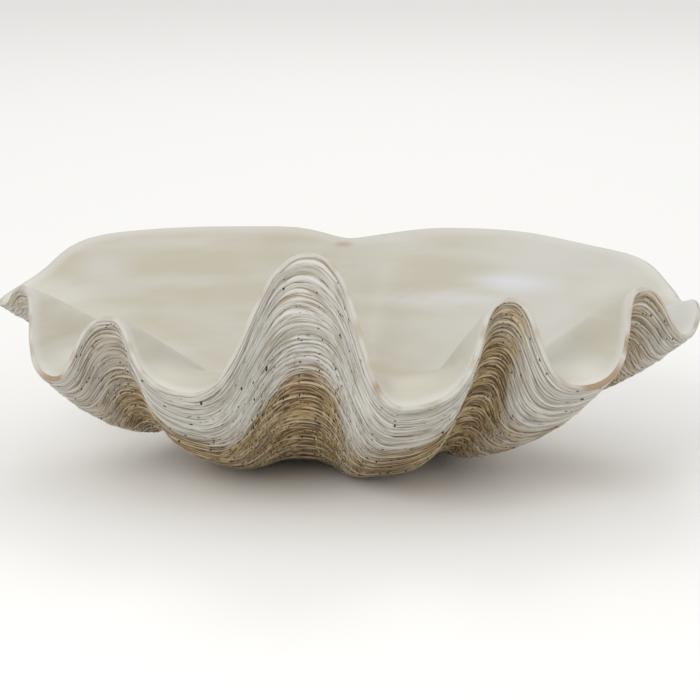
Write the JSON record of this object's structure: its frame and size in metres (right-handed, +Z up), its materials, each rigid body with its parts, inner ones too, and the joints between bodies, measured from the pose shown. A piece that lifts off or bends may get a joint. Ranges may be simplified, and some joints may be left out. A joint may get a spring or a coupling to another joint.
{
  "type": "clam shell",
  "caption": "Large fluted clam valve lying open side up: a deep smooth bowl with a wavy margin and growth ledges outside.",
  "frame": {"origin": "centre of the bounding box in plan, at the level of the worn flat that the valve stands on", "axes": "+Z up out of the bowl, +X along the width to the right as seen from the wavy margin, +Y to the hinge side"},
  "size_m": [0.593, 0.3978, 0.224],
  "materials": {
    "shell": "satin ivory inside, chalky ledged white with tan and brown grooves outside"
  },
  "bodies": {
    "root": {"shell_valve": "shell"}
  },
  "joints": []
}
